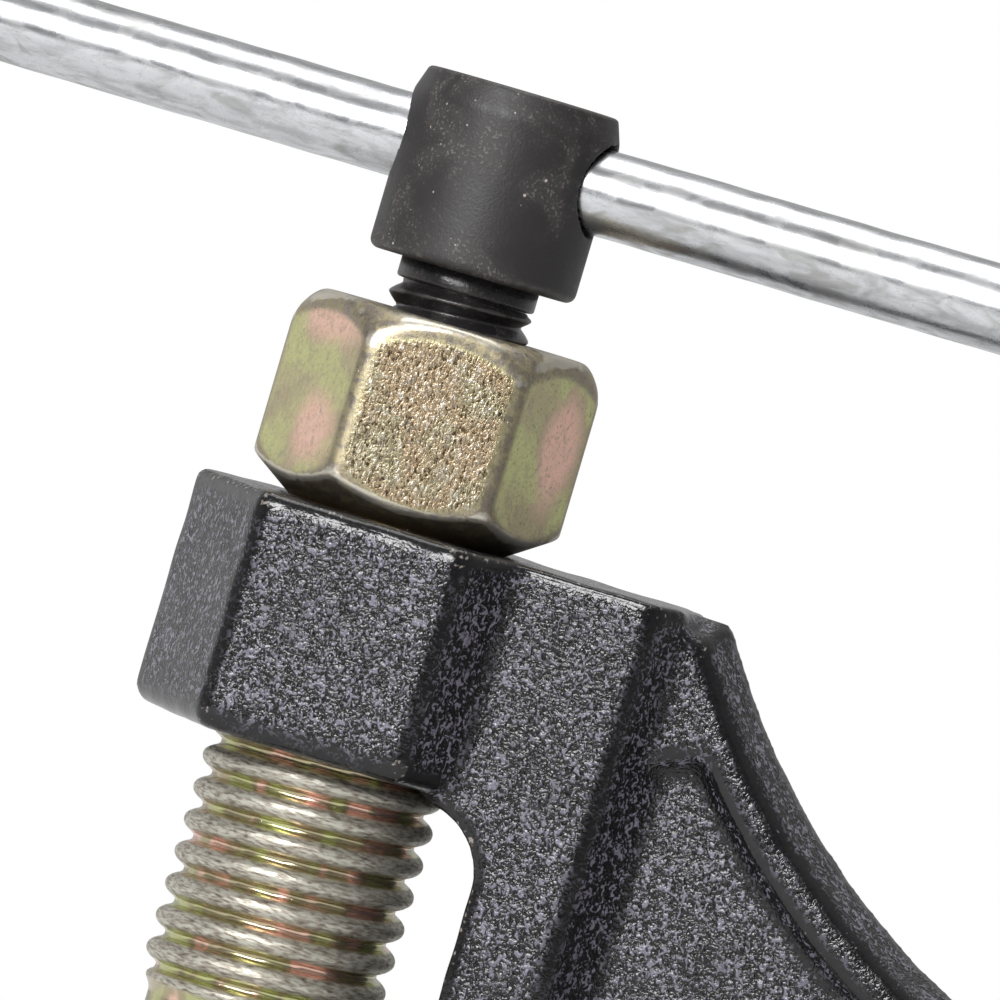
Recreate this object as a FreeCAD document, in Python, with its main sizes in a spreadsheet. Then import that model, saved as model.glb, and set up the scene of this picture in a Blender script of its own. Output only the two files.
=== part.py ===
import FreeCAD, Part
import Sketcher
import math
import os

Vector = FreeCAD.Vector
Rotation = FreeCAD.Rotation
Placement = FreeCAD.Placement

# Millimetres and degrees. +Z runs up the screw axis, +X towards the handle, and Z = 0 is the flat base.
SIZES = {
    "baseToBossTop": 82.0,
    "bossHeight": 18.3,
    "bossAcrossFlats": 27.6,
    "bossBoreRadius": 9.15,
    "spineFront": 14.35,
    "spineFaceEnd": 22.0,
    "spineFootEnd": 23.85,
    "spineHalf": 8.3,
    "rimHalf": 4.7,
    "rimDraft": 22.0,
    "webHalf": 3.1,
    "pocketDraft": 35.0,
    "pocketStart": 23.9,
    "pocketArcRadius": 60.2,
    "pocketTopCorner": 72.3,
    "pocketLastX": 100.0,
    "pocketCornerRun": 4.0,
    "pocketCornerDrop": 1.5,
    "flankStart": 26.57,
    "flankArcRadius": 55.7,
    "flankArcEnd": 74.6,
    "handleHalf": 13.5,
    "handleLength": 128.0,
    "hangHoleRadius": 4.0,
    "bossCornerRound": 1.0,
    "bossTopRound": 0.7,
    "bossLowRound": 1.5,
    "jawCornerRound": 1.5,
    "rimRound": 1.0,
    "recessFloorRound": 0.8,
    "spineRound": 1.0,
    "throatCeiling": 62.9,
    "throatCorner": 5.0,
    "jawTop": 20.0,
    "jawNose": 13.0,
    "jawHalf": 11.0,
    "slotHalf": 3.5,
    "hexAcrossFlats": 21.0,
    "hexHeight": 15.5,
    "hexTurn": 10.7,
    "hexSeatRadius": 8.6,
    "hexSeatRise": 2.4,
    "hexCrownRadius": 10.2,
    "hexCrownDrop": 2.2,
    "boltRadius": 9.1,
    "boltRootRadius": 8.1,
    "boltPitch": 2.5,
    "boltNose": 34.0,
    "boltPilot": 8.0,
    "boltGrooves": 15,
    "driveBoreRadius": 5.65,
    "noseBoreRadius": 6.75,
    "noseBoreTop": 43.0,
    "clipGrooveRadius": 7.35,
    "noseSleeveRadius": 6.69,
    "noseSleeveTop": 42.0,
    "noseFlangeRadius": 8.0,
    "noseFlangeBottom": 31.0,
    "noseGap": 0.1,
    "noseGrooveRadius": 6.0,
    "clipLow": 37.5,
    "clipHeight": 1.0,
    "clipInner": 6.2,
    "clipOuter": 7.3,
    "clipGap": 4.0,
    "pinBoreRadius": 2.45,
    "pinRadius": 2.4,
    "pinTip": 18.0,
    "punchHeadRadius": 4.5,
    "punchHeadLow": 52.0,
    "punchHeadTop": 57.0,
    "ballRadius": 3.0,
    "ballCentre": 58.0,
    "ballSeatRadius": 3.05,
    "driveEnd": 59.0,
    "driveRadius": 5.6,
    "driveRootRadius": 4.75,
    "drivePitch": 1.8,
    "driveGrooves": 20,
    "collarLow": 99.95,
    "collarRadius": 5.35,
    "headLow": 101.45,
    "headHeight": 14.3,
    "headRadius": 8.025,
    "headTopRadius": 7.3,
    "headTaper": 2.1,
    "crossHoleRadius": 3.7,
    "barRadius": 3.3,
    "barHeight": 110.15,
    "barTurn": -4.5,
    "barHalf": 55.0,
    "barTenonRadius": 2.5,
    "capRadius": 5.0,
    "capLength": 8.0,
    "springRadius": 3.6,
    "springWire": 0.45,
    "springTurns": 6.0,
}

doc = FreeCAD.newDocument("screwPress")
sheet = doc.addObject("Spreadsheet::Sheet", "Sizes")
for row, (name, value) in enumerate(SIZES.items(), start=1):
    sheet.set("A%d" % row, name)
    sheet.set("B%d" % row, str(value))
    sheet.setAlias("B%d" % row, name)
doc.recompute()

parts = []


def plain(expression):
    """Put the sheet's name before each size in an expression such as "boltNose + 2"."""
    out = ""
    word = ""
    for letter in expression + " ":
        if letter.isalnum():
            word += letter
            continue
        out += "Sizes." + word if word in SIZES else word
        out += letter
        word = ""
    return out.strip()


def valueOf(expression):
    found = sheet.evalExpression(plain(expression))
    return float(getattr(found, "Value", found))


def newBody(name):
    body = doc.addObject("PartDesign::Body", name)
    body.Label = name
    parts.append(body)
    return body


def originPlane(body, role):
    return [item for item in body.Origin.OriginFeatures if item.Role == role][0]


def newSketch(body, name, role, lift="0"):
    """An empty sketch on one of the body's own planes, lifted along that plane's normal."""
    sketch = body.newObject("Sketcher::SketchObject", name)
    sketch.AttachmentSupport = [(originPlane(body, role), "")]
    sketch.MapMode = "FlatFace"
    if lift != "0":
        sketch.setExpression(".AttachmentOffset.Base.z", plain(lift))
    return sketch


def pin(sketch, geometry, end, x, y):
    """Hold a point of the sketch at two expressions."""
    for kind, axis, text in (("DistanceX", -2, x), ("DistanceY", -1, y)):
        value = valueOf(text)
        if abs(value) < 1e-9:
            sketch.addConstraint(Sketcher.Constraint("PointOnObject", geometry, end, axis))
            continue
        index = sketch.addConstraint(Sketcher.Constraint(kind, -1, 1, geometry, end, value))
        sketch.setExpression("Constraints[%d]" % index, plain(text))


def drawLoop(sketch, points, arcs=None):
    """A closed loop through points given as pairs of expressions.

    arcs maps the index of a side to (radius, bulge): bulge is +1 when the arc's centre lies left of the side.
    """
    arcs = arcs or {}
    spots = [Vector(valueOf(x), valueOf(y), 0) for x, y in points]
    sides = []
    for index, start in enumerate(spots):
        stop = spots[(index + 1) % len(spots)]
        if index not in arcs:
            sides.append((sketch.addGeometry(Part.LineSegment(start, stop), False), 1, 2))
            continue
        radiusText, side = arcs[index]
        radius = valueOf(radiusText)
        chord = stop - start
        left = Vector(-chord.y, chord.x, 0).normalize()
        depth = math.sqrt(max(radius * radius - chord.Length * chord.Length / 4.0, 0.0))
        centre = (start + stop) * 0.5 + left * (depth * side)
        first = math.atan2(start.y - centre.y, start.x - centre.x)
        last = math.atan2(stop.y - centre.y, stop.x - centre.x)
        circle = Part.Circle(centre, Vector(0, 0, 1), radius)
        if side > 0:
            sides.append((sketch.addGeometry(Part.ArcOfCircle(circle, first, last), False), 1, 2))
        else:
            sides.append((sketch.addGeometry(Part.ArcOfCircle(circle, last, first), False), 2, 1))
    for index, (geometry, start, stop) in enumerate(sides):
        following = sides[(index + 1) % len(sides)]
        sketch.addConstraint(Sketcher.Constraint("Coincident", geometry, stop, following[0], following[1]))
        pin(sketch, geometry, start, *points[index])
        if index in arcs:
            at = sketch.addConstraint(Sketcher.Constraint("Radius", geometry, valueOf(arcs[index][0])))
            sketch.setExpression("Constraints[%d]" % at, plain(arcs[index][0]))
    return sketch


def drawCircle(sketch, x, y, radius):
    circle = Part.Circle(Vector(valueOf(x), valueOf(y), 0), Vector(0, 0, 1), valueOf(radius))
    geometry = sketch.addGeometry(circle, False)
    pin(sketch, geometry, 3, x, y)
    at = sketch.addConstraint(Sketcher.Constraint("Radius", geometry, valueOf(radius)))
    sketch.setExpression("Constraints[%d]" % at, plain(radius))
    return sketch


def hexagon(apothem):
    """Corners of a hexagon with two flats square to Y."""
    corner = "%s / sqrt(3)" % apothem
    return [
        ("2 * " + corner, "0"),
        (corner, apothem),
        ("-1 * " + corner, apothem),
        ("-2 * " + corner, "0"),
        ("-1 * " + corner, "-1 * " + apothem),
        (corner, "-1 * " + apothem),
    ]


def pad(body, name, sketch, length, both=False, draft=None):
    feature = body.newObject("PartDesign::Pad", name)
    feature.Profile = sketch
    feature.SideType = "Two sides" if both else "One side"
    feature.setExpression("Length", plain(length))
    if both:
        feature.setExpression("Length2", plain(length))
    if draft:
        feature.setExpression("TaperAngle", plain(draft))
        if both:
            feature.setExpression("TaperAngle2", plain(draft))
    doc.recompute()
    return feature


def cut(body, name, sketch, length, both=False, draft=None):
    feature = body.newObject("PartDesign::Pocket", name)
    feature.Profile = sketch
    feature.SideType = "Two sides" if both else "One side"
    feature.setExpression("Length", plain(length))
    if both:
        feature.setExpression("Length2", plain(length))
    if draft:
        feature.setExpression("TaperAngle", plain(draft))
    doc.recompute()
    return feature


def turned(body, name, points, kind="PartDesign::Revolution", axis="V_Axis", arcs=None):
    """Revolve a loop drawn in the XZ plane about one of the sketch's own axes."""
    sketch = newSketch(body, name + "_profile", "XZ_Plane")
    drawLoop(sketch, points, arcs)
    feature = body.newObject(kind, name)
    feature.Profile = sketch
    feature.ReferenceAxis = (sketch, [axis])
    feature.Angle = 360
    doc.recompute()
    return feature


def threadGrooves(body, first, count, pitch, crest, root, beyond):
    """One vee groove cut round the shank, repeated down it at the thread's pitch."""
    points = [
        (beyond, "%s + %s * 0.44" % (first, pitch)),
        (crest, "%s + %s * 0.40" % (first, pitch)),
        (root, "%s + %s * 0.10" % (first, pitch)),
        (root, "%s - %s * 0.10" % (first, pitch)),
        (crest, "%s - %s * 0.40" % (first, pitch)),
        (beyond, "%s - %s * 0.44" % (first, pitch)),
    ]
    groove = turned(body, "thread_groove", points, "PartDesign::Groove")
    rows = body.newObject("PartDesign::LinearPattern", "thread_grooves")
    rows.Originals = [groove]
    rows.Direction = (originPlane(body, "Z_Axis"), [""])
    rows.Reversed = True
    rows.Occurrences = SIZES[count]
    rows.setExpression("Length", plain("%s * (%s - 1)" % (pitch, count)))
    body.Tip = rows
    doc.recompute()
    return rows


def roundEdges(body, name, chosen, radius):
    """Fillet the edges of the body's present shape that the test picks out."""
    base = body.Tip
    names = []
    for index, edge in enumerate(base.Shape.Edges, start=1):
        if chosen(edge):
            names.append("Edge%d" % index)
    feature = body.newObject("PartDesign::Fillet", name)
    feature.Base = (base, names)
    feature.setExpression("Radius", plain(radius))
    doc.recompute()
    return feature


def middle(edge):
    return edge.valueAt((edge.FirstParameter + edge.LastParameter) / 2.0)


def upright(edge):
    box = edge.BoundBox
    return box.XLength < 0.1 and box.YLength < 0.1 and box.ZLength > 3.0


def levelAt(edge, z):
    box = edge.BoundBox
    return abs(box.ZMin - z) < 0.02 and abs(box.ZMax - z) < 0.02


def flatAt(edge, depth):
    """True for an edge that lies in the plane at this distance either side of the mid-plane."""
    box = edge.BoundBox
    return box.YLength < 0.02 and abs(abs(box.YMin) - depth) < 0.02


def buildFrame():
    """The cast C-frame: spine, drafted side plate with its handle, screw boss and forked jaw."""
    body = newBody("frame")
    spine = drawLoop(newSketch(body, "spine_section", "XY_Plane"), [
        ("spineFront", "-1 * spineHalf"),
        ("spineFaceEnd", "-1 * spineHalf"),
        ("spineFootEnd", "-1 * rimHalf"),
        ("spineFootEnd", "rimHalf"),
        ("spineFaceEnd", "spineHalf"),
        ("spineFront", "spineHalf"),
    ])
    pad(body, "spine", spine, "baseToBossTop")

    middleLine = "baseToBossTop / 2"
    outline = drawLoop(newSketch(body, "plate_outline", "XZ_Plane"), [
        ("spineFront + 1", "0"),
        ("flankStart", "0"),
        ("flankArcEnd", middleLine + " - handleHalf"),
        ("handleLength - handleHalf", middleLine + " - handleHalf"),
        ("handleLength", middleLine),
        ("handleLength - handleHalf", middleLine + " + handleHalf"),
        ("flankArcEnd", middleLine + " + handleHalf"),
        ("flankStart", "baseToBossTop"),
        ("spineFront + 1", "baseToBossTop"),
    ], {
        1: ("flankArcRadius", -1),
        3: ("handleHalf", 1),
        4: ("handleHalf", 1),
        6: ("flankArcRadius", -1),
    })
    pad(body, "side_plate", outline, "rimHalf", both=True, draft="-1 * rimDraft")

    boss = drawLoop(newSketch(body, "boss_section", "XY_Plane", "baseToBossTop - bossHeight"),
                    hexagon("(bossAcrossFlats / 2)"))
    pad(body, "boss", boss, "bossHeight")

    jaw = drawLoop(newSketch(body, "jaw_section", "XY_Plane"), [
        ("-1 * jawNose", "slotHalf"),
        ("0", "slotHalf"),
        ("slotHalf", "0"),
        ("0", "-1 * slotHalf"),
        ("-1 * jawNose", "-1 * slotHalf"),
        ("-1 * jawNose", "-1 * jawHalf"),
        ("spineFront + 1", "-1 * jawHalf"),
        ("spineFaceEnd", "-1 * spineHalf"),
        ("spineFaceEnd", "spineHalf"),
        ("spineFront + 1", "jawHalf"),
        ("-1 * jawNose", "jawHalf"),
    ], {1: ("slotHalf", -1), 2: ("slotHalf", -1)})
    pad(body, "jaw", jaw, "jawTop")

    upper = drawLoop(newSketch(body, "upper_corner_section", "XZ_Plane"), [
        ("spineFront", "throatCeiling - throatCorner"),
        ("spineFront + 1", "throatCeiling - throatCorner"),
        ("spineFront + 1", "baseToBossTop"),
        ("spineFront - throatCorner", "baseToBossTop"),
        ("spineFront - throatCorner", "throatCeiling"),
    ], {4: ("throatCorner", -1)})
    pad(body, "upper_corner", upper, "spineHalf", both=True)

    lower = drawLoop(newSketch(body, "lower_corner_section", "XZ_Plane"), [
        ("spineFront - throatCorner", "jawTop"),
        ("spineFront - throatCorner", "jawTop - 2"),
        ("spineFront + 1", "jawTop - 2"),
        ("spineFront + 1", "jawTop + throatCorner"),
        ("spineFront", "jawTop + throatCorner"),
    ], {4: ("throatCorner", -1)})
    pad(body, "lower_corner", lower, "spineHalf", both=True)

    # The recess follows the flank's arcs about the same centres and runs out along the handle.
    arcRise = "sqrt(pow(pocketArcRadius; 2) - pow(flankArcEnd - pocketStart - pocketCornerRun; 2))"
    arcCentre = "(%s + handleHalf + flankArcRadius)" % middleLine
    floorLine = "(%s + handleHalf + flankArcRadius - pocketArcRadius)" % middleLine
    recess = drawLoop(newSketch(body, "recess_outline", "XZ_Plane", "rimHalf"), [
        ("pocketStart", "baseToBossTop - pocketTopCorner + pocketCornerDrop"),
        ("pocketStart + pocketCornerRun", "baseToBossTop - (%s - %s)" % (arcCentre, arcRise)),
        ("flankArcEnd", "baseToBossTop - " + floorLine),
        ("pocketLastX", "baseToBossTop - " + floorLine),
        ("pocketLastX", floorLine),
        ("flankArcEnd", floorLine),
        ("pocketStart + pocketCornerRun", "%s - %s" % (arcCentre, arcRise)),
        ("pocketStart", "pocketTopCorner - pocketCornerDrop"),
    ], {
        1: ("pocketArcRadius", -1),
        5: ("pocketArcRadius", -1),
    })
    recessCut = cut(body, "recess", recess, "rimHalf - webHalf", draft="-1 * pocketDraft")
    mirrored = body.newObject("PartDesign::Mirrored", "recess_both_sides")
    mirrored.Originals = [recessCut]
    mirrored.MirrorPlane = (originPlane(body, "XZ_Plane"), [""])
    body.Tip = mirrored
    doc.recompute()

    hang = drawCircle(newSketch(body, "hang_hole_outline", "XZ_Plane"),
                      "handleLength - handleHalf", middleLine, "hangHoleRadius")
    cut(body, "hang_hole", hang, "rimHalf + 1", both=True)

    bore = drawCircle(newSketch(body, "bore_outline", "XY_Plane", "baseToBossTop + 1"), "0", "0", "bossBoreRadius")
    cut(body, "screw_bore", bore, "bossHeight + 8")
    roundFrame(body)
    return body


def roundFrame(body):
    """The casting's rounded edges."""
    bossHalf = SIZES["bossAcrossFlats"] / 2
    bossTop = SIZES["baseToBossTop"]
    bossLow = bossTop - SIZES["bossHeight"]
    outsideBore = SIZES["bossBoreRadius"] + 0.3
    handleEnd = SIZES["handleLength"] - SIZES["handleHalf"]

    def bossCorner(edge):
        spot = middle(edge)
        return upright(edge) and spot.z > bossLow and (abs(abs(spot.y) - bossHalf) < 0.05 or spot.x < -bossHalf)

    def bossTopEdge(edge):
        spot = middle(edge)
        return levelAt(edge, bossTop) and spot.x < SIZES["spineFront"] - 0.5 and math.hypot(spot.x, spot.y) > 12

    def jawCorner(edge):
        spot = middle(edge)
        return upright(edge) and spot.z < SIZES["jawTop"] and abs(abs(spot.y) - SIZES["jawHalf"]) < 0.05

    def bossLowEdge(edge):
        spot = middle(edge)
        return levelAt(edge, bossLow) and (abs(spot.y) > 12 or spot.x < -outsideBore)

    def outlineEdge(edge):
        spot = middle(edge)
        if not flatAt(edge, SIZES["rimHalf"]) or edge.Length < 15 or spot.x < 40:
            return False
        if abs(getattr(edge.Curve, "Radius", 0) - SIZES["pocketArcRadius"]) < 0.1:
            return False
        return spot.x > handleEnd or abs(spot.z - bossTop / 2) > SIZES["handleHalf"] - 2.5

    def spineEdge(edge):
        spot = middle(edge)
        return upright(edge) and edge.Length > 50 and abs(spot.x - SIZES["spineFaceEnd"]) < 0.05

    roundEdges(body, "boss_corners", bossCorner, "bossCornerRound")
    roundEdges(body, "boss_top_edges", bossTopEdge, "bossTopRound")
    roundEdges(body, "jaw_corners", jawCorner, "jawCornerRound")
    roundEdges(body, "boss_bottom_edges", bossLowEdge, "bossLowRound")
    roundEdges(body, "rim_edges", outlineEdge, "rimRound")
    roundEdges(body, "recess_floor_edges", lambda edge: flatAt(edge, SIZES["webHalf"]), "recessFloorRound")
    roundEdges(body, "spine_edges", spineEdge, "spineRound")


def buildPressureScrew():
    """The hollow screw: hex head seated on the boss, coarse thread, plain pilot at its nose."""
    body = newBody("pressure_screw")
    section = drawLoop(newSketch(body, "hex_section", "XY_Plane", "baseToBossTop"),
                       hexagon("(hexAcrossFlats / 2)"))
    pad(body, "hex_head", section, "hexHeight")
    top = "baseToBossTop + hexHeight"
    turned(body, "seat_chamfer", [
        ("hexSeatRadius", "baseToBossTop - 1"),
        ("hexSeatRadius", "baseToBossTop"),
        ("hexAcrossFlats / sqrt(3)", "baseToBossTop + hexSeatRise"),
        ("hexAcrossFlats / sqrt(3) + 3", "baseToBossTop + hexSeatRise"),
        ("hexAcrossFlats / sqrt(3) + 3", "baseToBossTop - 1"),
    ], "PartDesign::Groove")
    turned(body, "crown_chamfer", [
        ("hexCrownRadius", top + " + 1"),
        ("hexCrownRadius", top),
        ("hexAcrossFlats / sqrt(3)", top + " - hexCrownDrop"),
        ("hexAcrossFlats / sqrt(3) + 3", top + " - hexCrownDrop"),
        ("hexAcrossFlats / sqrt(3) + 3", top + " + 1"),
    ], "PartDesign::Groove", arcs={1: ("5", -1)})
    turned(body, "shank", [
        ("0", "baseToBossTop + 1"),
        ("0", "boltNose"),
        ("boltRootRadius - 0.8", "boltNose"),
        ("boltRootRadius", "boltNose + 0.8"),
        ("boltRootRadius", "boltNose + boltPilot"),
        ("boltRadius", "boltNose + boltPilot + 1"),
        ("boltRadius", "baseToBossTop + 1"),
    ])
    threadGrooves(body, "baseToBossTop - 1.6", "boltGrooves", "boltPitch",
                  "boltRadius", "boltRootRadius", "boltRadius + 0.4")
    turned(body, "stepped_bore", [
        ("0", top + " + 1"),
        ("0", "boltNose - 1"),
        ("noseBoreRadius", "boltNose - 1"),
        ("noseBoreRadius", "clipLow - 0.05"),
        ("clipGrooveRadius", "clipLow - 0.05"),
        ("clipGrooveRadius", "clipLow + clipHeight + 0.05"),
        ("noseBoreRadius", "clipLow + clipHeight + 0.05"),
        ("noseBoreRadius", "noseBoreTop"),
        ("driveBoreRadius", "noseBoreTop + 0.6"),
        ("driveBoreRadius", top + " - 0.5"),
        ("driveBoreRadius + 0.5", top),
        ("driveBoreRadius + 0.5", top + " + 1"),
    ], "PartDesign::Groove")
    body.setExpression(".Placement.Rotation.Angle", plain("hexTurn"))
    body.Placement = Placement(Vector(0, 0, 0), Rotation(Vector(0, 0, 1), SIZES["hexTurn"]))
    return body


def buildGuideNose():
    """The swivelling thrust nose: it guides the pin and lets the screw turn without dragging the work."""
    body = newBody("guide_nose")
    turned(body, "nose", [
        ("pinBoreRadius", "noseFlangeBottom"),
        ("noseFlangeRadius - 1.5", "noseFlangeBottom"),
        ("noseFlangeRadius", "noseFlangeBottom + 1"),
        ("noseFlangeRadius", "boltNose - noseGap"),
        ("noseSleeveRadius", "boltNose - noseGap"),
        ("noseSleeveRadius", "clipLow - 0.3"),
        ("noseGrooveRadius", "clipLow - 0.3"),
        ("noseGrooveRadius", "clipLow + clipHeight + 0.3"),
        ("noseSleeveRadius", "clipLow + clipHeight + 0.3"),
        ("noseSleeveRadius", "noseSleeveTop - 0.5"),
        ("noseSleeveRadius - 0.5", "noseSleeveTop"),
        ("pinBoreRadius", "noseSleeveTop"),
    ])
    return body


def buildClip():
    """The split ring that holds the nose in the screw."""
    body = newBody("retaining_clip")
    turned(body, "ring", [
        ("clipInner", "clipLow"),
        ("clipOuter", "clipLow"),
        ("clipOuter", "clipLow + clipHeight"),
        ("clipInner", "clipLow + clipHeight"),
    ])
    gap = drawLoop(newSketch(body, "ring_gap_outline", "XY_Plane", "clipLow + clipHeight + 1"), [
        ("0", "-1 * clipGap / 2"),
        ("clipOuter + 1", "-1 * clipGap / 2"),
        ("clipOuter + 1", "clipGap / 2"),
        ("0", "clipGap / 2"),
    ])
    cut(body, "ring_gap", gap, "clipHeight + 2")
    return body


def buildDriveScrew():
    """The inner screw: round head with the cross hole, collar, thread and ball seat."""
    body = newBody("drive_screw")
    headTop = "headLow + headHeight"
    turned(body, "blank", [
        ("0", "driveEnd"),
        ("driveRootRadius - 0.8", "driveEnd"),
        ("driveRootRadius", "driveEnd + 0.8"),
        ("driveRootRadius", "driveEnd + 2"),
        ("driveRadius", "driveEnd + 2.9"),
        ("driveRadius", "collarLow - 0.6"),
        ("collarRadius", "collarLow"),
        ("collarRadius", "headLow"),
        ("headRadius - 1.5", "headLow"),
        ("headRadius", "headLow + 1.5"),
        ("headRadius", headTop + " - headTaper"),
        ("headTopRadius", headTop + " - 0.5"),
        ("headTopRadius - 0.5", headTop),
        ("0", headTop),
    ], arcs={8: ("1.5", 1)})
    threadGrooves(body, "collarLow - 1.5", "driveGrooves", "drivePitch",
                  "driveRadius", "driveRootRadius", "driveRadius + 0.3")
    depth = "(ballCentre - driveEnd)"
    mouth = "sqrt(pow(ballSeatRadius; 2) - pow(%s; 2))" % depth
    turned(body, "ball_seat", [
        ("0", "driveEnd - 0.5"),
        (mouth, "driveEnd - 0.5"),
        (mouth, "driveEnd"),
        ("0", "ballCentre + ballSeatRadius"),
    ], "PartDesign::Groove", arcs={2: ("ballSeatRadius", 1)})
    hole = drawCircle(newSketch(body, "cross_hole_outline", "YZ_Plane"), "0", "barHeight", "crossHoleRadius")
    cut(body, "cross_hole", hole, "headRadius + 1", both=True)
    body.setExpression(".Placement.Rotation.Angle", plain("barTurn"))
    body.Placement = Placement(Vector(0, 0, 0), Rotation(Vector(0, 0, 1), SIZES["barTurn"]))
    return body


def buildBall():
    """The hardened ball between the inner screw and the pin's head."""
    body = newBody("thrust_ball")
    turned(body, "ball", [
        ("0", "ballCentre - ballRadius"),
        ("ballRadius", "ballCentre"),
        ("0", "ballCentre + ballRadius"),
    ], arcs={0: ("ballRadius", 1), 1: ("ballRadius", 1)})
    return body


def buildPin():
    """The push pin: upset head with a ball seat and a straight shank with a chamfered tip."""
    body = newBody("punch_pin")
    turned(body, "pin", [
        ("0", "pinTip"),
        ("pinRadius - 0.6", "pinTip"),
        ("pinRadius", "pinTip + 0.6"),
        ("pinRadius", "punchHeadLow"),
        ("punchHeadRadius", "punchHeadLow"),
        ("punchHeadRadius", "punchHeadTop - 0.5"),
        ("punchHeadRadius - 0.5", "punchHeadTop"),
        ("0", "punchHeadTop"),
    ])
    depth = "(ballCentre - punchHeadTop)"
    mouth = "sqrt(pow(ballSeatRadius; 2) - pow(%s; 2))" % depth
    turned(body, "ball_seat", [
        ("0", "ballCentre - ballSeatRadius"),
        (mouth, "punchHeadTop"),
        (mouth, "punchHeadTop + 0.5"),
        ("0", "punchHeadTop + 0.5"),
    ], "PartDesign::Groove", arcs={0: ("ballSeatRadius", 1)})
    return body


def buildSpring():
    """The return spring round the pin, a wire swept along a helix."""
    low = valueOf("noseSleeveTop + springWire + 0.1")
    high = valueOf("punchHeadLow - springWire - 0.1")
    turns = valueOf("springTurns")
    helix = doc.addObject("Part::Helix", "spring_path")
    helix.setExpression("Radius", plain("springRadius"))
    helix.setExpression("Pitch", plain("(punchHeadLow - noseSleeveTop - 2 * springWire - 0.2) / springTurns"))
    helix.setExpression("Height", plain("punchHeadLow - noseSleeveTop - 2 * springWire - 0.2"))
    helix.Placement = Placement(Vector(0, 0, low), Rotation())
    wire = doc.addObject("Part::Circle", "spring_wire")
    wire.setExpression("Radius", plain("springWire"))
    slope = math.atan2((high - low) / turns, 2 * math.pi * valueOf("springRadius"))
    wire.Placement = Placement(Vector(valueOf("springRadius"), 0, low),
                               Rotation(Vector(1, 0, 0), 90 + math.degrees(slope)))
    spring = doc.addObject("Part::Sweep", "punch_return_spring")
    spring.Label = "punch_return_spring"
    spring.Sections = [wire]
    spring.Spine = (helix, [])
    spring.Solid = True
    spring.Frenet = True
    parts.append(spring)
    doc.recompute()
    return spring


def buildBar():
    """The sliding bar, drawn along X and turned to its place in the head."""
    body = newBody("tommy_bar")
    turned(body, "rod", [
        ("-1 * barHalf", "0"),
        ("-1 * barHalf", "barTenonRadius"),
        ("-1 * barHalf + capLength - 1", "barTenonRadius"),
        ("-1 * barHalf + capLength - 1", "barRadius"),
        ("barHalf - capLength + 1", "barRadius"),
        ("barHalf - capLength + 1", "barTenonRadius"),
        ("barHalf", "barTenonRadius"),
        ("barHalf", "0"),
    ], axis="H_Axis")
    return body


def buildCap(name, side):
    """A rounded end knob pressed on the bar's tenon."""
    body = newBody(name)
    inner = "%d * (barHalf - capLength + 1)" % side
    outer = "%d * (barHalf + 1)" % side
    floor = "%d * barHalf" % side
    soft = "%d * (barHalf - capLength + 2)" % side
    crown = "%d * (barHalf - 0.5)" % side
    turned(body, "knob", [
        (inner, "barTenonRadius"),
        (inner, "capRadius - 1"),
        (soft, "capRadius"),
        (crown, "capRadius"),
        (outer, "capRadius - 1.5"),
        (outer, "0"),
        (floor, "0"),
        (floor, "barTenonRadius"),
    ], axis="H_Axis")
    return body


def finishAndExport():
    doc.recompute()
    for item in doc.Objects:
        if "Invalid" in item.State or "Error" in item.State:
            raise RuntimeError("%s did not compute: %s" % (item.Name, item.State))
    os.makedirs("parts", exist_ok=True)
    for part in parts:
        shape = part.Shape
        if shape.isNull() or not shape.isValid() or len(shape.Solids) != 1:
            raise RuntimeError("%s is not one valid solid" % part.Label)
        shape.exportStep("parts/%s.step" % part.Label)
        box = shape.BoundBox
        print("%-20s %9.1f mm3  x %.2f %.2f  y %.2f %.2f  z %.2f %.2f" % (
            part.Label, shape.Volume, box.XMin, box.XMax, box.YMin, box.YMax, box.ZMin, box.ZMax))


buildFrame()
buildPressureScrew()
buildGuideNose()
buildClip()
buildDriveScrew()
buildBall()
buildPin()
buildSpring()
for barPart in (buildBar(), buildCap("bar_end_cap_left", -1), buildCap("bar_end_cap_right", 1)):
    barPart.Placement = Placement(Vector(0, 0, SIZES["barHeight"]),
                                  Rotation(Vector(0, 0, 1), SIZES["barTurn"]))
    barPart.setExpression(".Placement.Base.z", plain("barHeight"))
finishAndExport()
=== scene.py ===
import math

import bmesh
import bpy
import numpy as np
from mathutils import Matrix, Vector


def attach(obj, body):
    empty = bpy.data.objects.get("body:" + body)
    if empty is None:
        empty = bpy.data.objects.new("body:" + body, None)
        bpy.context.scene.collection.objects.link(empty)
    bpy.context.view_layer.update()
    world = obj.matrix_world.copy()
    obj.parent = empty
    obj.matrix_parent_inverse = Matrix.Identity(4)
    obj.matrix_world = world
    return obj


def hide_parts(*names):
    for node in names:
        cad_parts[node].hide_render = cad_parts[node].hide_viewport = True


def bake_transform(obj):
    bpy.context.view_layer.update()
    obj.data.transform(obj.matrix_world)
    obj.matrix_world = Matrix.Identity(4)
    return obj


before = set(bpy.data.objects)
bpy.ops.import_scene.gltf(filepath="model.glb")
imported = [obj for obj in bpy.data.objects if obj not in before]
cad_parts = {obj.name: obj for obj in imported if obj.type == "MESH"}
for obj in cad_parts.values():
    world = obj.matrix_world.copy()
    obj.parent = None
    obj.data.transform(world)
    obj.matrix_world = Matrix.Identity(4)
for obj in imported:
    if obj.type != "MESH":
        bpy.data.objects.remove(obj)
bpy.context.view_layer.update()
print("frame loaded")

mm = 0.001
sameSpot = 1e-7
rng = np.random.default_rng(41)


# meshes

def newPiece(name, mesh):
    piece = bpy.data.objects.new(name, mesh)
    bpy.context.scene.collection.objects.link(piece)
    return piece


def shadeSmooth(mesh):
    mesh.polygons.foreach_set("use_smooth", np.ones(len(mesh.polygons), dtype=bool))
    mesh.update()


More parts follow.
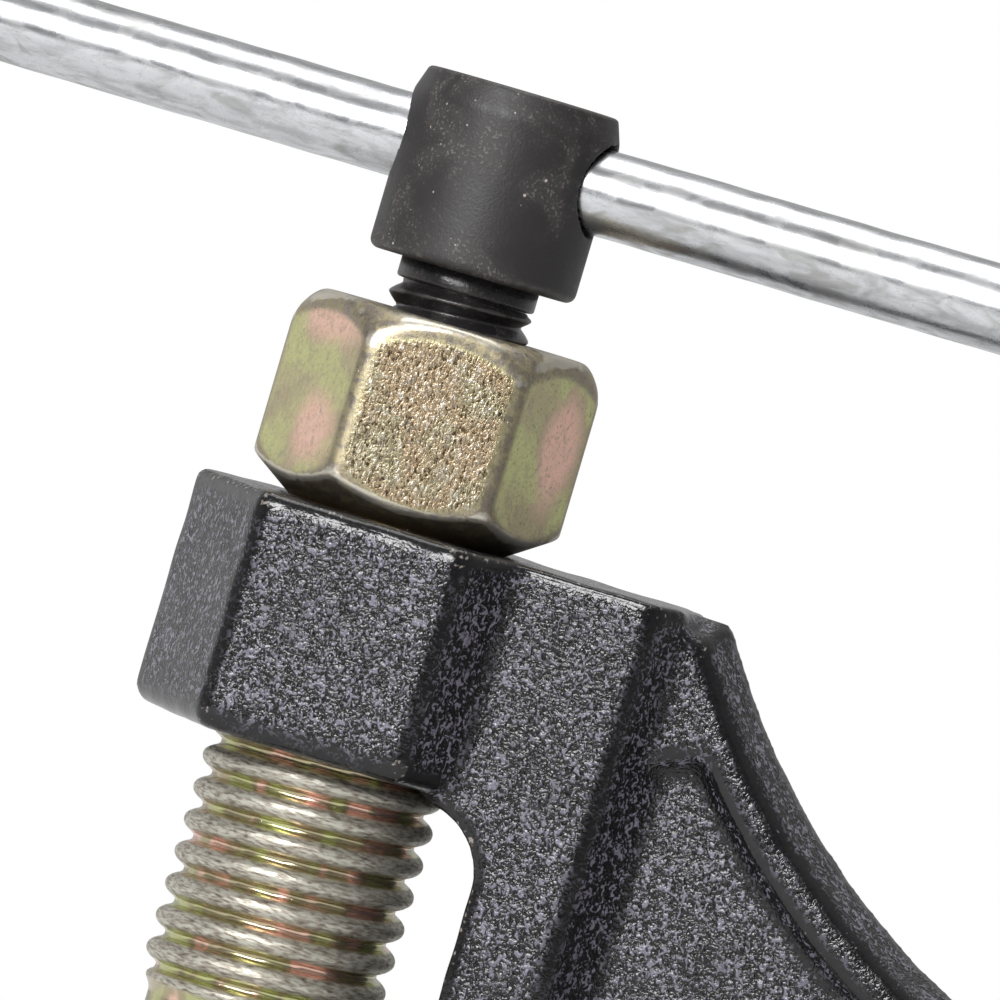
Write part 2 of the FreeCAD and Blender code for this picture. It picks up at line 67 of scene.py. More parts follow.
def mendMesh(mesh, weld=0.0, fill=False):
    # welds points closer than weld, in metres, fills open ends if asked, and turns the faces outwards
    shape = bmesh.new()
    shape.from_mesh(mesh)
    if weld > 0:
        bmesh.ops.remove_doubles(shape, verts=shape.verts, dist=weld)
    if fill:
        bmesh.ops.holes_fill(shape, edges=shape.edges)
    bmesh.ops.recalc_face_normals(shape, faces=shape.faces)
    shape.to_mesh(mesh)
    shape.free()
    shadeSmooth(mesh)


def evenAngles(columns):
    return np.arange(columns)[None] * 2 * np.pi / columns


def meshFromArrays(name, points, faces):
    # points in millimetres become a smooth-shaded mesh object in metres at the origin
    mesh = bpy.data.meshes.new(name)
    mesh.from_pydata((points * mm).tolist(), [], faces.tolist())
    shadeSmooth(mesh)
    return newPiece(name, mesh)


def gridFaces(rows, columns, closeRows=False):
    # quads of a grid whose columns wrap round; its rows wrap too when the profile is a closed loop
    lastRow = rows if closeRows else rows - 1
    row, column = np.meshgrid(np.arange(lastRow), np.arange(columns), indexing="ij")
    nextRow, nextColumn = (row + 1) % rows, (column + 1) % columns
    corners = [row * columns + column, row * columns + nextColumn,
               nextRow * columns + nextColumn, nextRow * columns + column]
    return np.stack(corners, axis=-1).reshape(-1, 4)


def ringPoints(radius, height, angle):
    # a point at each angle and profile row: x = r cos a, y = r sin a, z = h
    height = np.broadcast_to(height, radius.shape)
    return np.stack([radius * np.cos(angle), radius * np.sin(angle), height], axis=-1).reshape(-1, 3)


def softMin(first, second, reach):
    # the lower of two surfaces, blended over the distance reach where they cross
    share = np.clip(0.5 + 0.5 * (second - first) / reach, 0, 1)
    return second * (1 - share) + first * share - reach * share * (1 - share)


def smoothStep(low, high, value):
    t = np.clip((value - low) / (high - low), 0, 1)
    return t * t * (3 - 2 * t)


def roundedPath(corners, step):
    # a closed outline of (r, z, rounding) corners, with each corner replaced by an arc of its rounding
    path = []
    count = len(corners)
    for index in range(count):
        before, here, after = (np.array(corners[(index + k) % count][:2], float) for k in (-1, 0, 1))
        rounding = corners[index][2]
        inward, outward = before - here, after - here
        inward, outward = inward / np.linalg.norm(inward), outward / np.linalg.norm(outward)
        turn = math.acos(float(np.clip(-inward @ outward, -1, 1)))
        if rounding <= 0 or turn < 0.01:
            path.append(here[None])
            continue
        reach = rounding * math.tan(turn / 2)
        start, stop = here + inward * reach, here + outward * reach
        bisector = inward + outward
        centre = here + bisector / np.linalg.norm(bisector) * rounding / math.cos(turn / 2)
        steps = max(3, int(math.ceil(rounding * turn / step)))
        t = np.linspace(0, 1, steps + 1)[:, None]
        chord = (start - centre) * (1 - t) + (stop - centre) * t
        path.append(centre + chord / np.linalg.norm(chord, axis=1)[:, None] * rounding)
    return np.concatenate(path)


def fillPath(path, longest, closed=True):
    # adds points on runs longer than the given length
    ends = np.roll(path, -1, axis=0) if closed else path[1:]
    starts = path if closed else path[:-1]
    pieces = []
    for start, stop in zip(starts, ends):
        parts = max(1, int(math.ceil(np.linalg.norm(stop - start) / longest)))
        t = np.arange(parts)[:, None] / parts
        pieces.append(start * (1 - t) + stop * t)
    if not closed:
        pieces.append(path[-1:])
    return np.concatenate(pieces)


def neighbourMean(values, edges, count):
    # the mean of each vertex's neighbours, from the mesh's edge list
    total = np.zeros((count,) + values.shape[1:])
    links = np.zeros(count)
    for near, far in ((0, 1), (1, 0)):
        np.add.at(total, edges[:, near], values[edges[:, far]])
        np.add.at(links, edges[:, near], 1)
    links = np.maximum(links, 1)
    return total / links.reshape((-1,) + (1,) * (values.ndim - 1))


def meshArrays(mesh):
    points = np.empty(len(mesh.vertices) * 3)
    mesh.vertices.foreach_get("co", points)
    edges = np.empty(len(mesh.edges) * 2, dtype=np.int64)
    mesh.edges.foreach_get("vertices", edges)
    normals = np.empty(len(mesh.vertices) * 3)
    mesh.vertices.foreach_get("normal", normals)
    return points.reshape(-1, 3) / mm, edges.reshape(-1, 2), normals.reshape(-1, 3)


def relax(mesh, passes, share):
    # moves each vertex a share of the way to its neighbours' mean, then back a little, which keeps the volume
    points, edges, normals = meshArrays(mesh)
    for step in range(passes):
        for move in (share, -share * 0.9):
            points += (neighbourMean(points, edges, len(points)) - points) * move
    mesh.vertices.foreach_set("co", (points * mm).ravel())
    mesh.update()


def storeValue(mesh, name, values):
    attribute = mesh.attributes.new(name, "FLOAT", "POINT")
    attribute.data.foreach_set("value", values.astype(np.float32))


def markEdges(mesh, reach, spread=6):
    # edge: how sharply the surface turns outwards at a vertex; hollow: how sharply it turns inwards
    # the turn is the neighbours' mean less the vertex, along its normal, over the squared spacing
    points, edges, normals = meshArrays(mesh)
    count = len(points)
    lengths = np.linalg.norm(points[edges[:, 0]] - points[edges[:, 1]], axis=1)
    spacing = np.zeros(count)
    links = np.zeros(count)
    for side in (0, 1):
        np.add.at(spacing, edges[:, side], lengths)
        np.add.at(links, edges[:, side], 1)
    spacing /= np.maximum(links, 1)
    inward = np.einsum("ij,ij->i", neighbourMean(points, edges, count) - points, normals)
    turn = 4 * inward / np.maximum(spacing, 1e-6) ** 2
    for step in range(spread):
        turn = (turn + neighbourMean(turn[:, None], edges, count)[:, 0]) / 2
    storeValue(mesh, "edge", np.clip(-turn * reach, 0, 1))
    storeValue(mesh, "hollow", np.clip(turn * reach, 0, 1))


def settle(piece):
    # the piece's modifiers become its mesh
    bpy.context.view_layer.update()
    shaped = bpy.data.meshes.new_from_object(piece.evaluated_get(bpy.context.evaluated_depsgraph_get()))
    piece.modifiers.clear()
    piece.data = shaped
    shaped.name = piece.name
    return shaped


def remeshed(piece, voxel):
    modifier = piece.modifiers.new("voxels", "REMESH")
    modifier.mode = "VOXEL"
    modifier.voxel_size = voxel * mm
    modifier.adaptivity = 0
    mesh = settle(piece)
    shadeSmooth(mesh)
    return mesh


# cast frame

castFrame = {
    "voxel": 0.46, "relaxPasses": 9, "relaxShare": 0.6, "waviness": 0.05, "waveLengths": (9.0, 5.0, 3.1),
    "wavesEach": 6,
}


def waves(points, lengths, count, draws):
    # a sum of sine waves in random directions, one set for each wavelength, scaled to about one
    total = np.zeros(len(points))
    for length in lengths:
        for wave in range(count):
            direction = draws.normal(size=3)
            direction /= np.linalg.norm(direction)
            total += np.sin(points @ direction * 2 * np.pi / length + draws.uniform(0, 2 * np.pi))
    return total / math.sqrt(len(lengths) * count / 2)


def buildFrame(values):
    v = values
    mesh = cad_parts["frame"].data.copy()
    mendMesh(mesh, weld=sameSpot)
    piece = newPiece("castFrame", mesh)
    mesh.materials.clear()
    mesh = remeshed(piece, v["voxel"])
    relax(mesh, v["relaxPasses"], v["relaxShare"])
    points, edges, normals = meshArrays(mesh)
    lift = waves(points, v["waveLengths"], v["wavesEach"], rng) * v["waviness"] * 0.5 - v["waviness"]
    mesh.vertices.foreach_set("co", ((points + normals * lift[:, None]) * mm).ravel())
    mesh.update()
    markEdges(mesh, 1.3, 5)
    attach(piece, "frame")
    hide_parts("frame")
    print("cast frame:", len(mesh.polygons), "faces")
    return piece


# pressure screw

pressureScrew = {
    "columns": 288, "crowding": 0.07, "apothem": 10.5, "cornerRound": 1.2, "turn": 10.7, "top": 97.5,
    "seat": 82.0, "crownRadius": 10.0, "crownDrop": 2.4, "seatRadius": 8.6, "seatRise": 2.4, "blend": 0.5,
    "crest": 9.15, "root": 8.1, "pitch": 2.5, "phase": 1.13, "crestHalf": 0.41, "crestPower": 2.3,
    "threadTop": 81.9, "threadLow": 43.2, "rowsPerTurn": 16,
    "nose": 34.0, "driveBore": 5.65, "noseBore": 6.75, "noseBoreTop": 43.0,
    # one share for each side face, and spots as (face, place across it, height, half width, half height)
    "burnish": (1.0, 0.0, 0.1, 0.8, 0.0, 0.2),
    "pinkSpots": ((5, 0.5, 95.8, 5.0, 2.4), (5, 1.8, 87.4, 3.0, 3.0), (1, 1.8, 90.6, 2.8, 4.4),
                  (2, -2.0, 93.5, 3.0, 2.5), (3, 1.0, 88.0, 2.0, 3.0), (4, 2.0, 92.0, 2.5, 4.0)),
}


def hexagonRadius(angle, apothem, cornerRound):
    # distance from the axis to a hexagon's side, with each corner turned on a small circle
    fromFlat = np.mod(angle + math.pi / 6, math.pi / 3) - math.pi / 6
    flat = apothem / np.cos(fromFlat)
    fromCorner = math.pi / 6 - np.abs(fromFlat)
    middle = (apothem - cornerRound) / math.cos(math.pi / 6)
    inside = np.maximum(cornerRound ** 2 - (middle * np.sin(fromCorner)) ** 2, 0)
    corner = middle * np.cos(fromCorner) + np.sqrt(inside)
    flatEnds = math.atan((apothem - cornerRound) * math.tan(math.pi / 6) / apothem)
    return np.where(np.abs(fromFlat) > flatEnds, corner, flat)


def threadHeight(height, angle, values):
    # 0 at the root and 1 at the crest of a right-hand thread: u is the distance from the crest in pitches,
    # found from z - pitch * a / 2 pi, and the height is 1 - (u / crestHalf) ^ crestPower, never below 0
    v = values
    turns = (height + v["phase"] - v["pitch"] * angle / (2 * np.pi)) / v["pitch"]
    fromCrest = np.abs(np.mod(turns, 1.0) - 0.5)
    return np.clip(1 - (fromCrest / v["crestHalf"]) ** v["crestPower"], 0, 1)


def flatPatches(angle, height, values):
    # colour shares on the six side faces: flat fades at the face's rim, burnish marks the worn faces, and
    # pink is the highest of its spots, each exp(-(x / wide)^2 - (y / high)^2)
    v = values
    turned = angle - math.radians(v["turn"] - 90)
    face = np.mod(np.round(turned / (math.pi / 3)), 6).astype(int)
    fromFlat = np.mod(turned + math.pi / 6, math.pi / 3) - math.pi / 6
    across = v["apothem"] * np.tan(fromFlat) * np.ones_like(height)
    flat = smoothStep(5.75, 5.0, np.abs(across))
    lowEdge = v["seat"] + 1.4 + 0.055 * across ** 2
    highEdge = v["top"] - 1.2 - 0.045 * across ** 2
    flat = flat * smoothStep(lowEdge, lowEdge + 0.5, height) * smoothStep(highEdge, highEdge - 0.5, height)
    burnish = flat * np.array(v["burnish"])[face]
    pink = np.zeros_like(flat)
    for number, middle, level, wide, high in v["pinkSpots"]:
        near = np.exp(-((across - middle) / wide) ** 2 - ((height - level) / high) ** 2)
        pink = np.maximum(pink, near * (face == number))
    return flat, burnish, pink


def buildPressureScrew(values):
    v = values
    # columns stand closer together six times round, in step with the hexagon: a = t + crowding * sin 6t
    even = np.arange(v["columns"]) * 2 * np.pi / v["columns"]
    angle = even + v["crowding"] * np.sin(6 * even)
    hexTurn = math.radians(v["turn"] - 90)
    top, seat = v["top"], v["seat"]
    capFace = np.linspace(v["driveBore"] + 0.6, v["crownRadius"] - 0.4, 6)
    headRows = np.concatenate([
        top - v["crownDrop"] * np.linspace(0, 1, 15) ** 1.6,
        np.linspace(top - v["crownDrop"] - 0.3, seat + v["seatRise"] + 0.6, 18),
        np.linspace(seat + v["seatRise"] + 0.3, seat - 0.1, 15),
    ])
    # the head is the lowest of its six sides, its rounded crown and the cone under it
    flats = hexagonRadius(angle - hexTurn, v["apothem"], v["cornerRound"])[None]
    drop = np.clip((top - headRows) / v["crownDrop"], 0, None)
    crown = v["crownRadius"] - 0.25 + (2.2 * np.sqrt(np.clip(drop, 0, 1)) + 2.0 * np.clip(drop - 1, 0, None))
    rise = (headRows - seat) / v["seatRise"]
    skirt = v["seatRadius"] + rise * (2 * v["apothem"] / math.sqrt(3) - v["seatRadius"])
    headRadius = softMin(softMin(flats, crown[:, None], v["blend"]), skirt[:, None], v["blend"])

    turns = (v["threadTop"] - v["threadLow"]) / v["pitch"]
    threadRows = np.linspace(v["threadTop"] - 0.3, v["threadLow"], int(turns * v["rowsPerTurn"]))[:, None]
    shape = threadHeight(threadRows, angle[None], v)
    shape = shape * smoothStep(v["threadLow"], v["threadLow"] + 2.2, threadRows)
    threadRadius = v["root"] + (v["crest"] - v["root"]) * shape

    inside = roundedPath([
        (v["root"], v["threadLow"] - 0.2, 0.0), (v["root"], v["nose"], 0.7),
        (v["noseBore"], v["nose"], 0.3), (v["noseBore"], v["noseBoreTop"], 0.0),
        (v["driveBore"], v["noseBoreTop"] + 0.6, 0.0), (v["driveBore"], top, 0.5),
    ], 0.2)
    inside = fillPath(inside, 4.0, closed=False)
    columns = np.ones(v["columns"])
    radius = np.concatenate([capFace[:, None] * columns, headRadius, threadRadius, inside[:, :1] * columns])
    height = np.concatenate([np.full(len(capFace), top), headRows, threadRows[:, 0], inside[:, 1]])[:, None]
    points = ringPoints(radius, height, angle[None])
    piece = meshFromArrays("pressureScrew", points, gridFaces(len(radius), v["columns"], closeRows=True))
    mendMesh(piece.data, weld=sameSpot)
    crest = np.concatenate([np.zeros((len(capFace) + len(headRows), v["columns"])), shape,
                            np.zeros((len(inside), v["columns"]))])
    shank = np.concatenate([np.zeros(len(capFace) + len(headRows)), np.ones(len(threadRows) + len(inside))])
    storeValue(piece.data, "crest", crest.ravel())
    storeValue(piece.data, "shank", np.repeat(shank, v["columns"]))
    patches = flatPatches(angle[None], height, v)
    for name, share in zip(("flat", "burnish", "pink"), patches):
        storeValue(piece.data, name, (share * (height > v["seat"]) * (radius > v["apothem"] - 1.5)).ravel())
    markEdges(piece.data, 0.9, 2)
    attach(piece, "pressure_screw")
    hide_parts("pressure_screw")
    print("pressure screw:", len(piece.data.polygons), "faces")
    return piece


# drive screw

driveScrew = {
    "columns": 128, "turn": -4.5, "headLow": 101.45, "headTop": 115.75, "headRadius": 8.025,
    "topRadius": 7.35, "taper": 2.0, "lowRound": 0.75, "headVoxel": 0.17,
    "holeHeight": 110.15, "holeRadius": 3.62, "cutterHalf": 12.0, "axisWeld": 3e-6,
    "collarLow": 99.95, "collarRadius": 5.35, "crest": 5.6, "root": 4.75, "pitch": 1.8, "phase": 0.36,
    "crestHalf": 0.46, "crestPower": 1.25, "end": 59.0, "rowsPerTurn": 12,
    "seatRadius": 3.05, "ballCentre": 58.0,
}


def alongBar(rows, columns, height, turn, wobble=0.0):
    # rows of (radius, distance along the bar) turned round the bar's own axis, then the bar turned about Z
    angle = evenAngles(columns)
    radius = rows[:, :1] + wobble
    x = rows[:, 1:] * np.ones_like(angle)
    y = radius * np.cos(angle) * np.ones_like(x)
    z = height + radius * np.sin(angle) * np.ones_like(x)
    cosine, sine = math.cos(math.radians(turn)), math.sin(math.radians(turn))
    return np.stack([x * cosine - y * sine, x * sine + y * cosine, z], axis=-1).reshape(-1, 3)


def buildDriveHead(values):
    v = values
    outline = roundedPath([
        (0.0, v["headTop"], 0.0), (v["topRadius"], v["headTop"], 0.35),
        (v["headRadius"], v["headTop"] - v["taper"], 2.0), (v["headRadius"], v["headLow"], v["lowRound"]),
        (0.0, v["headLow"], 0.0),
    ], 0.15)
    outline = outline[(outline[:, 0] > 1e-6)]
    rows = np.concatenate([[[0.001, v["headTop"]]], fillPath(outline, 1.0, closed=False),
                           [[0.001, v["headLow"]]]])
    angle = evenAngles(v["columns"])
    points = ringPoints(rows[:, :1] * np.ones_like(angle), rows[:, 1:], angle)
    piece = meshFromArrays("driveScrewHead", points, gridFaces(len(rows), v["columns"]))
    mendMesh(piece.data, weld=v["axisWeld"], fill=True)

    # the cross hole's cutter is a plain closed rod along the bar
    rod = np.array([[v["holeRadius"], -v["cutterHalf"]], [v["holeRadius"], v["cutterHalf"]]])
    cutter = meshFromArrays("holeCutter", alongBar(rod, v["columns"], v["holeHeight"], v["turn"]),
                            gridFaces(len(rod), v["columns"]))
    mendMesh(cutter.data, fill=True)
    cut = piece.modifiers.new("cross hole", "BOOLEAN")
    cut.operation = "DIFFERENCE"
    cut.solver = "EXACT"
    cut.object = cutter
    settle(piece)
    bpy.data.objects.remove(cutter)
    mesh = remeshed(piece, v["headVoxel"])
    relax(mesh, 3, 0.5)
    markEdges(mesh, 0.5, 3)
    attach(piece, "drive_screw")
    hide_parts("drive_screw")
    print("drive screw head:", len(mesh.polygons), "faces")
    return piece


def buildDriveThread(values):
    v = values
    angle = evenAngles(v["columns"])
    columns = np.ones_like(angle)
    collar = roundedPath([
        (0.0, v["headLow"] + 0.6, 0.0), (v["collarRadius"], v["headLow"] + 0.6, 0.0),
        (v["collarRadius"], v["collarLow"], 0.25), (v["root"], v["collarLow"] - 0.1, 0.0),
    ], 0.1)[1:]
    turns = (v["collarLow"] - v["end"]) / v["pitch"]
    rows = np.linspace(v["collarLow"] - 0.15, v["end"] + 0.8, int(turns * v["rowsPerTurn"]))[:, None]
    shape = threadHeight(rows, angle, v)
    shape = shape * smoothStep(v["end"] + 0.8, v["end"] + 2.6, rows)
    shape = shape * (1 - smoothStep(v["collarLow"] - 0.7, v["collarLow"] - 0.15, rows) * 0.8)
    thread = v["root"] + (v["crest"] - v["root"]) * shape
    mouth = math.sqrt(v["seatRadius"] ** 2 - (v["ballCentre"] - v["end"]) ** 2)
    sweep = np.linspace(math.asin(mouth / v["seatRadius"]), 0.02, 9)
    seat = v["seatRadius"] * np.stack([np.sin(sweep), np.cos(sweep)], axis=-1) + [0, v["ballCentre"]]
    tip = np.concatenate([[[v["root"] - 0.1, v["end"] + 0.4], [v["root"] - 0.5, v["end"]]], seat])
    centre = np.array([[0.001, v["headLow"] + 0.6]])
    radius = np.concatenate([centre[:, :1] * columns, collar[:, :1] * columns, thread, tip[:, :1] * columns])
    height = np.concatenate([centre[:, 1], collar[:, 1], rows[:, 0], tip[:, 1]])[:, None]
    piece = meshFromArrays("driveScrewThread", ringPoints(radius, height, angle),
                           gridFaces(len(radius), v["columns"]))
    mendMesh(piece.data, fill=True)
    markEdges(piece.data, 0.5, 2)
    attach(piece, "drive_screw")
    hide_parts("drive_screw")
    print("drive screw thread:", len(piece.data.polygons), "faces")
    return piece


# sliding bar and its knobs

slidingBar = {
    "radius": 3.3, "half": 47.8, "height": 110.15, "turn": -4.5, "columns": 96, "rows": 240, "dent": 0.03,
    "waves": ((3.1, 0.4, 1), (1.7, 2.1, 2), (0.9, 4.0, 3)),
}
barKnob = {"radius": 5.0, "inner": 48.0, "outer": 56.0, "round": 1.6, "columns": 96}


def buildBar(values, knob):
    v = values
    place = np.linspace(-v["half"], v["half"], v["rows"])
    rows = np.stack([np.full(len(place), v["radius"]), place], axis=-1)
    angle = evenAngles(v["columns"])
    # a drawn bar's shallow dents: the mean of sin(x / length + phase + turns * a), times dent
    dents = sum(np.sin(place[:, None] / length + phase + turns * angle)
                for length, phase, turns in v["waves"])
    wobble = v["dent"] * (dents / len(v["waves"]) - 1)
    piece = meshFromArrays("slidingBar", alongBar(rows, v["columns"], v["height"], v["turn"], wobble),
                           gridFaces(len(rows), v["columns"]))
    mendMesh(piece.data, fill=True)
    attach(piece, "tommy_bar")
    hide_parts("tommy_bar")
    for side, name, node in ((-1, "barKnobLeft", "bar_end_cap_left"),
                             (1, "barKnobRight", "bar_end_cap_right")):
        outline = roundedPath([
            (2.4, knob["inner"] * side, 0.0), (knob["radius"], knob["inner"] * side, 0.8),
            (knob["radius"], knob["outer"] * side, knob["round"]), (0.0, knob["outer"] * side, 0.0),
        ], 0.15)
        rows = fillPath(outline[outline[:, 0] > 1e-6], 0.8, closed=False)
        rows = np.concatenate([rows, [[0.4, knob["outer"] * side]]])
        cap = meshFromArrays(name, alongBar(rows, knob["columns"], v["height"], v["turn"]),
                             gridFaces(len(rows), knob["columns"]))
        mendMesh(cap.data, fill=True)
        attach(cap, "tommy_bar")
        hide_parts(node)
    print("bar and knobs done")
    return piece


# return spring


def buildReturnSpring():
    # the coil is a copy of the spring from model.glb, with its placement baked into its points, and the
    # original is hidden
    piece = newPiece("returnSpring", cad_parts["punch_return_spring"].data.copy())
    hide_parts("punch_return_spring")
    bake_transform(piece)
    return piece


# shader helpers

def addNode(tree, kind, inputs=None, **settings):
    # inputs are sockets to link or plain values, by the input's name or number
    node = tree.nodes.new(kind)
    for name, value in settings.items():
        setattr(node, name, value)
    for name, value in (inputs or {}).items():
        if isinstance(value, bpy.types.NodeSocket):
            tree.links.new(value, node.inputs[name])
        else:
            node.inputs[name].default_value = value
    return node


def calc(tree, operation, first, second, clamp=False):
    node = addNode(tree, "ShaderNodeMath", {0: first, 1: second}, operation=operation, use_clamp=clamp)
    return node.outputs[0]


def times(tree, first, second, clamp=False):
    return calc(tree, "MULTIPLY", first, second, clamp)


def plus(tree, first, second):
    return calc(tree, "ADD", first, second)


def oneLess(tree, value, clamp=False):
    # 1 - value
    return calc(tree, "SUBTRACT", 1.0, value, clamp)


def ramp(tree, value, low, high, start=0.0, stop=1.0):
    # start below low and stop above high, with a smooth change between
    return addNode(tree, "ShaderNodeMapRange", {0: value, 1: low, 2: high, 3: start, 4: stop},
                   interpolation_type="SMOOTHSTEP").outputs[0]


def mixColour(tree, share, first, second, blend="MIX"):
    node = addNode(tree, "ShaderNodeMix", {0: share, 6: first, 7: second}, data_type="RGBA", blend_type=blend)
    return node.outputs[2]


def mixValue(tree, share, first, second):
    return addNode(tree, "ShaderNodeMix", {0: share, 2: first, 3: second}).outputs[0]


def newGroup(name, inputs, outputs):
    tree = bpy.data.node_groups.new(name, "ShaderNodeTree")
    for label, kind, default in inputs:
        socket = tree.interface.new_socket(name=label, in_out="INPUT", socket_type="NodeSocket" + kind)
        socket.default_value = default
    for label, kind in outputs:
        tree.interface.new_socket(name=label, in_out="OUTPUT", socket_type="NodeSocket" + kind)
    return tree, addNode(tree, "NodeGroupInput").outputs, addNode(tree, "NodeGroupOutput").inputs


def placeGroup(tree, group, inputs):
    return addNode(tree, "ShaderNodeGroup", inputs, node_tree=group).outputs


def makeGrainGroup():
    # noise whose grain size is given in millimetres, with its own stretch along each axis
    tree, given, out = newGroup("grain", [
        ("Vector", "Vector", (0, 0, 0)), ("Stretch", "Vector", (1, 1, 1)), ("Size", "Float", 1.0),
        ("Detail", "Float", 3.0), ("Swirl", "Float", 0.0),
    ], [("Value", "Float")])
    place = addNode(tree, "ShaderNodeVectorMath", {0: given["Vector"], 1: given["Stretch"]},
                    operation="MULTIPLY")
    scale = calc(tree, "DIVIDE", 1000.0, given["Size"])
    noise = addNode(tree, "ShaderNodeTexNoise", {
        "Vector": place.outputs[0], "Scale": scale, "Detail": given["Detail"], "Distortion": given["Swirl"]})
    tree.links.new(noise.outputs["Fac"], out["Value"])
    return tree


def makeSpeckGroup():
    # scattered small spots: cells of the given size, each with a spot if its own random value is under Share
    tree, given, out = newGroup("specks", [
        ("Vector", "Vector", (0, 0, 0)), ("Size", "Float", 0.5), ("Share", "Float", 0.1),
        ("Spot", "Float", 0.3),
    ], [("Mask", "Float")])
    scale = calc(tree, "DIVIDE", 1000.0, given["Size"])
    cells = addNode(tree, "ShaderNodeTexVoronoi", {"Vector": given["Vector"], "Scale": scale})
    chance = addNode(tree, "ShaderNodeSeparateColor", {0: cells.outputs["Color"]}).outputs[0]
    chosen = calc(tree, "LESS_THAN", chance, given["Share"])
    size = times(tree, given["Spot"], plus(tree, times(tree, chance, 4.0), 0.4))
    near = ramp(tree, cells.outputs["Distance"], times(tree, size, 0.6), size, 1.0, 0.0)
    tree.links.new(times(tree, near, chosen), out["Mask"])
    return tree


def makeScratchGroup(grainTree):
    # fine lines: two noises drawn out along crossed directions, kept only where they peak
    tree, given, out = newGroup("scratches", [
        ("Vector", "Vector", (0, 0, 0)), ("Length", "Float", 2.0), ("Share", "Float", 0.3),
    ], [("Mask", "Float")])
    lines = []
    for turn in ((0.35, 0.2, 0.5), (-0.5, 0.3, -0.25)):
        turned = addNode(tree, "ShaderNodeMapping", {"Vector": given["Vector"], "Rotation": turn})
        noise = placeGroup(tree, grainTree, {"Vector": turned.outputs[0], "Stretch": (14, 14, 1),
                                             "Size": given["Length"], "Detail": 1.0})
        lines.append(noise["Value"])
    peak = calc(tree, "MAXIMUM", lines[0], lines[1])
    edge = calc(tree, "SUBTRACT", 0.92, times(tree, given["Share"], 0.3))
    mask = addNode(tree, "ShaderNodeMapRange",
                   {0: peak, 1: edge, 2: plus(tree, edge, 0.06), 3: 0.0, 4: 1.0})
    tree.links.new(mask.outputs[0], out["Mask"])
    return tree


def makeWearGroup(grainTree):
    # the edge attribute broken up by noise, so that wear stops and starts along an edge
    tree, given, out = newGroup("wornEdges", [
        ("Vector", "Vector", (0, 0, 0)), ("Edge", "Float", 0.0), ("Reach", "Float", 0.5),
        ("Size", "Float", 1.0),
    ], [("Mask", "Float")])
    noise = placeGroup(tree, grainTree, {"Vector": given["Vector"], "Size": given["Size"], "Detail": 4.0})
    worn = times(tree, given["Edge"], times(tree, noise["Value"], 2.0))
    low = oneLess(tree, given["Reach"])
    tree.links.new(ramp(tree, worn, low, plus(tree, low, 0.25)), out["Mask"])
    return tree


grainGroup = makeGrainGroup()
speckGroup = makeSpeckGroup()
scratchGroup = makeScratchGroup(grainGroup)
wearGroup = makeWearGroup(grainGroup)


def newMaterial(name, finish):
    # finish holds what is the same all over; the tree, its shader and the object's own coordinates come back
    material = bpy.data.materials.new(name)
    material.use_nodes = True
    tree = material.node_tree
    shader = tree.nodes["Principled BSDF"]
    for socket, value in finish.items():
        shader.inputs[socket].default_value = value
    place = addNode(tree, "ShaderNodeTexCoord").outputs["Object"]
    return material, tree, shader, place


def grain(tree, vector, size, detail=3.0, swirl=0.0, stretch=(1, 1, 1)):
    return placeGroup(tree, grainGroup, {"Vector": vector, "Size": size, "Detail": detail, "Swirl": swirl,
                                         "Stretch": stretch})["Value"]


def readValue(tree, name):
    return addNode(tree, "ShaderNodeAttribute", attribute_name=name).outputs["Fac"]


def addBump(tree, shader, layers):
    # layers of (height, strength, depth in millimetres), the first one deepest in the chain
    normal = None
    for height, strength, depth in layers:
        inputs = {"Height": height, "Strength": strength, "Distance": depth * mm}
        if normal is not None:
            inputs["Normal"] = normal
        normal = addNode(tree, "ShaderNodeBump", inputs).outputs[0]
    tree.links.new(normal, shader.inputs["Normal"])


# finishes

# tip is a painted highlight: the lilac-grey colour on the wrinkle ridges stands in for glints of the lamps
wrinklePaint = {
    "dark": (0.004, 0.004, 0.004, 1), "mid": (0.006, 0.006, 0.007, 1), "tip": (0.16, 0.150, 0.19, 1),
    "bare": (0.40, 0.36, 0.33, 1), "relief": 0.22, "wormSize": 0.52, "grainSize": 0.27,
    "roughLow": 0.15, "roughHigh": 0.21, "wearReach": -0.12, "chipShare": 0.02,
}


